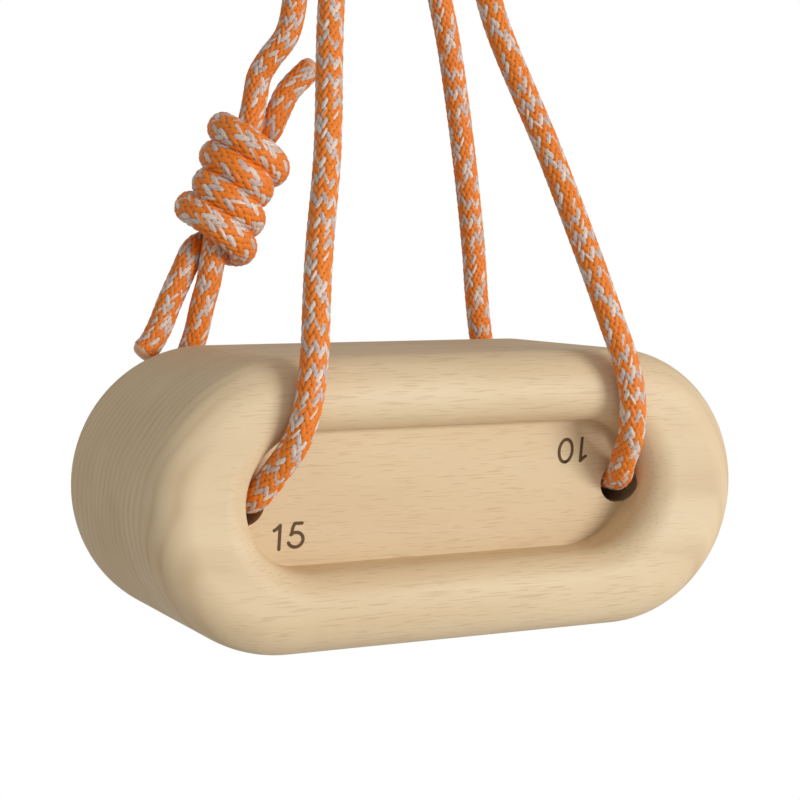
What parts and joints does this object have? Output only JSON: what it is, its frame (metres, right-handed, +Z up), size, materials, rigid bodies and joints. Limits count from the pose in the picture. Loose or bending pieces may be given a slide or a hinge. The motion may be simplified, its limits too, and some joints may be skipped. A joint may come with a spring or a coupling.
{
  "type": "portable hangboard",
  "caption": "Small round-ended wooden training block with a slanted finger pocket, hung on a doubled loop of braided cord that is closed by a knot.",
  "frame": {"origin": "centre of the support that the two bights hang over, at the height where their half turns begin", "axes": "+X along the block to its right end, -Y out of the finger pocket's side, +Z up; the block leans forward 5.3 degrees about X as it hangs"},
  "size_m": [0.15, 0.0825, 0.2167],
  "materials": {
    "beech": "sanded bare beech with fine dark flecks along the grain",
    "orange_braid": "woven sheath in orange with pale and grey flecks",
    "melted_end": "cord end sealed by melting"
  },
  "bodies": {
    "support_loops": {"front_bight": "orange_braid", "rear_bight": "orange_braid"},
    "loop_necks": {"front_left_neck": "orange_braid", "front_right_neck": "orange_braid", "rear_left_neck": "orange_braid", "rear_right_neck": "orange_braid"},
    "sling": {"front_left_leg": "orange_braid", "front_right_leg": "orange_braid", "rear_right_leg": "orange_braid", "rear_left_leg": "orange_braid", "rear_left_upper_leg": "orange_braid", "knot_lower_coil": "orange_braid", "knot_upper_coil": "orange_braid", "lower_tail": "orange_braid", "upper_tail": "orange_braid", "lower_tail_tip": "melted_end", "upper_tail_tip": "melted_end"},
    "hangboard": {"hangboard_block": "beech", "cord_in_left_hole": "orange_braid", "cord_in_right_hole": "orange_braid"}
  },
  "joints": [
    {"name": "fore_aft_swing", "type": "hinge", "parent": "support_loops", "child": "loop_necks", "pos_m": [0, 0, 0], "axis": [1, 0, 0], "range_deg": [-30, 30], "deforming": ["front_bight", "rear_bight", "front_left_neck", "front_right_neck", "rear_left_neck", "rear_right_neck"]},
    {"name": "side_swing", "type": "hinge", "parent": "loop_necks", "child": "sling", "pos_m": [0, 0, 0], "axis": [0, 1, 0], "range_deg": [-25, 25], "deforming": ["front_bight", "rear_bight", "front_left_neck", "front_right_neck", "rear_left_neck", "rear_right_neck"]},
    {"name": "twist", "type": "hinge", "parent": "sling", "child": "hangboard", "pos_m": [0, 0, 0], "axis": [0, 0, 1], "range_deg": [-20, 20], "deforming": ["front_left_leg", "front_right_leg", "rear_right_leg", "rear_left_leg", "rear_left_upper_leg", "knot_lower_coil", "knot_upper_coil", "lower_tail", "upper_tail", "lower_tail_tip", "upper_tail_tip"]}
  ]
}
